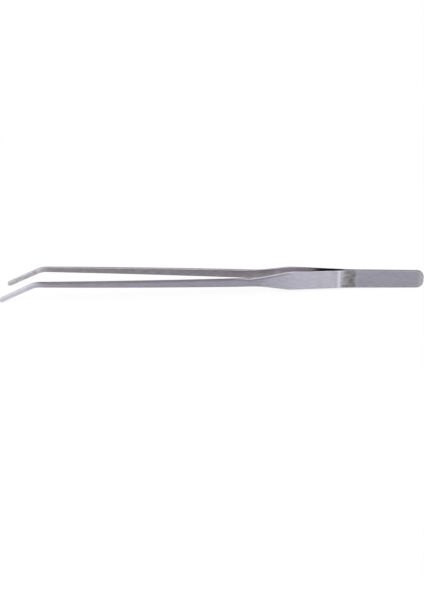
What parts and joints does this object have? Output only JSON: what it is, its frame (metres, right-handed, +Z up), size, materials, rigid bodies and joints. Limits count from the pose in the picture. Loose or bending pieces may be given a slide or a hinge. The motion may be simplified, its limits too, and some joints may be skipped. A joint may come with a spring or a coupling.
{
  "type": "aquascaping tweezers",
  "caption": "Long stainless steel tweezers: two blades welded at the tail, broad sprung grips, slender arms and serrated tips bent sideways, lying on their side.",
  "frame": {"origin": "centre of the footprint on the surface that the tool lies on", "axes": "+Z up, -X towards the tips, +X towards the tail end, +Y towards the right blade; the blades open along Y"},
  "size_m": [0.2702, 0.0248, 0.014],
  "materials": {
    "tail_steel": "satin ground, slightly darker",
    "weld_steel": "fused metal inside the welds",
    "arm_steel": "fine satin brushed along the blade"
  },
  "bodies": {
    "tail": {"left_tail_leaf": "tail_steel", "right_tail_leaf": "tail_steel", "spot_welds": "weld_steel"},
    "left_blade": {"left_arm": "arm_steel"},
    "right_blade": {"right_arm": "arm_steel"}
  },
  "joints": [
    {"name": "left_arm_flex", "type": "hinge", "parent": "tail", "child": "left_blade", "pos_m": [0.07653, -0.00157, 0.00713], "axis": [-0.0249, 0, -0.9997], "range_deg": [0, 2.9], "stiffness_Nm_per_rad": 5},
    {"name": "right_arm_flex", "type": "hinge", "parent": "tail", "child": "right_blade", "pos_m": [0.07653, 0.00157, 0.00713], "axis": [0.0249, 0, 0.9997], "range_deg": [0, 2.9], "stiffness_Nm_per_rad": 5}
  ],
  "couplings": [
    {"joint": "right_arm_flex", "follows": "left_arm_flex", "ratio": 1}
  ]
}
